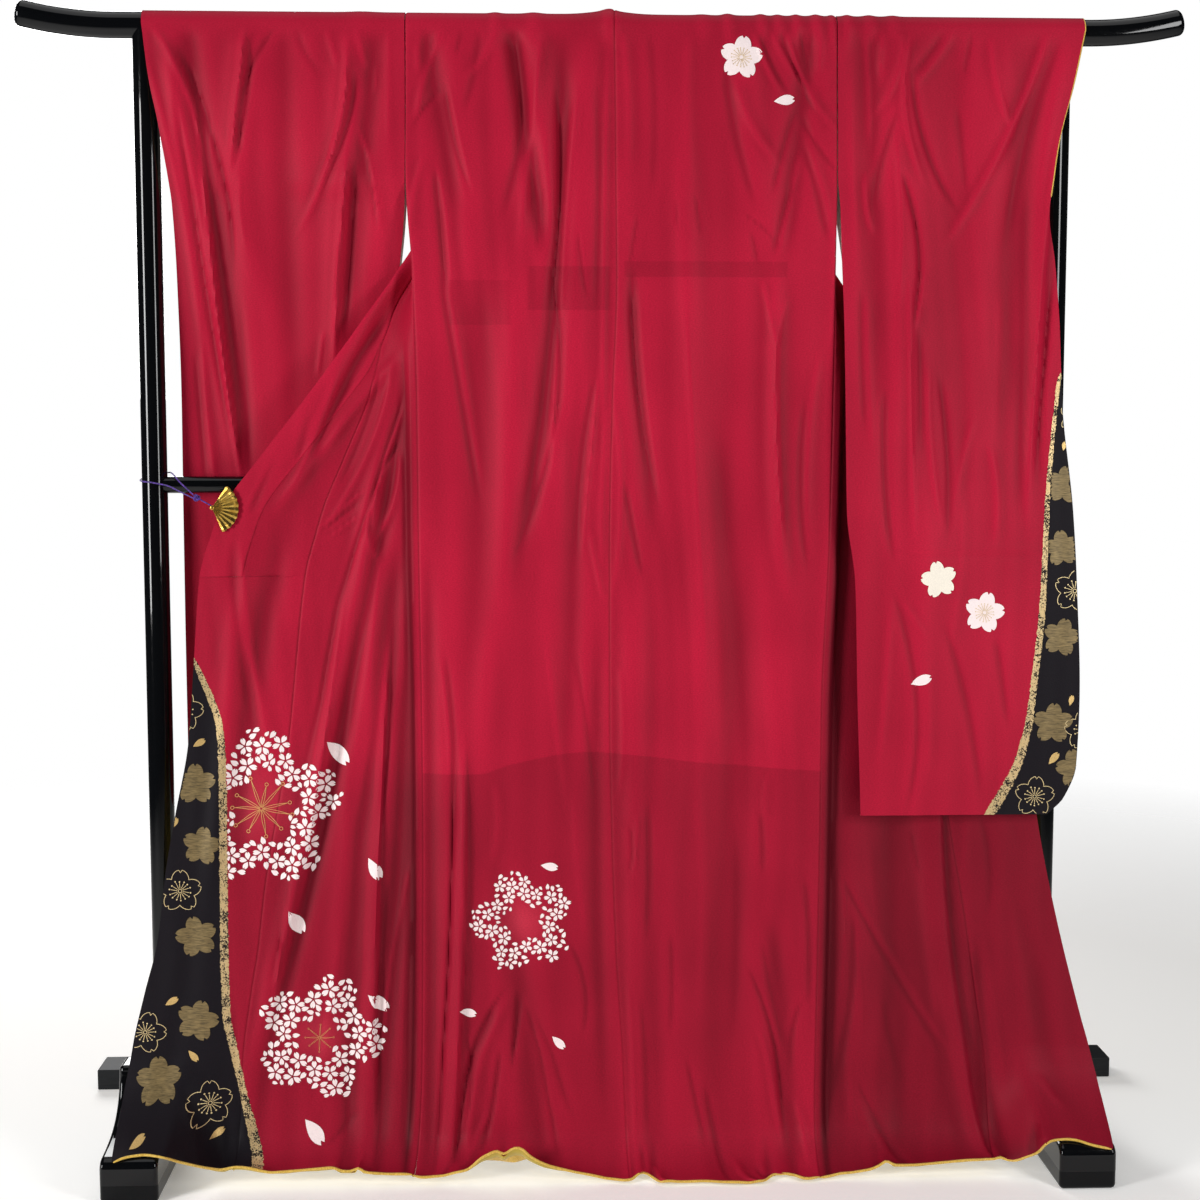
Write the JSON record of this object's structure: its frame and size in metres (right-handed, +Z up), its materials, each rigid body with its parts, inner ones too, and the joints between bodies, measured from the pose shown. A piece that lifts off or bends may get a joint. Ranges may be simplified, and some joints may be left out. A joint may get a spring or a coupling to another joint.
{
  "type": "furisode kimono on a kimono rack",
  "caption": "Long-sleeved crimson silk kimono hung by its sleeves on a black lacquered rack, back to the viewer, with one front held open by a fan clip.",
  "frame": {"origin": "centre of the bounding box on the floor", "axes": "+X along the rack's pole, towards the wearer's right sleeve; +Y from the garment's back towards the rack's rear bar; +Z up"},
  "size_m": [1.612, 0.493, 1.6091],
  "materials": {
    "silk": "crimson silk crepe with a dark and gold border and white blossoms",
    "hem_lining": "mustard silk lining",
    "lacquer": "glossy black lacquer",
    "matte_base": "matte black paint",
    "gilt": "gilt, slightly worn",
    "purple_cord": "twisted silk cord"
  },
  "bodies": {
    "root": {"back_left": "silk", "back_right": "silk", "front_left": "silk", "front_right": "silk", "okumi_left": "silk", "okumi_right": "silk", "collar_left": "silk", "collar_neck": "silk", "collar_right": "silk", "sleeve_left_back": "silk", "sleeve_left_front": "silk", "sleeve_right_back": "silk", "sleeve_right_front": "silk", "hem_roll_back": "hem_lining", "hem_roll_left": "hem_lining", "hem_roll_right": "hem_lining", "cuff_piping_left": "hem_lining", "cuff_piping_right": "hem_lining", "rack_pole": "lacquer", "rack_post_left": "lacquer", "rack_post_right": "lacquer", "rack_mid_rail": "lacquer", "rack_foot_left": "lacquer", "rack_foot_right": "lacquer", "rack_sole_left": "matte_base", "rack_sole_right": "matte_base", "rack_rear_bar": "matte_base", "clip_fan": "gilt", "clip_jaw": "gilt", "clip_knot": "purple_cord", "clip_tie": "purple_cord", "clip_cord": "purple_cord"}
  },
  "joints": []
}
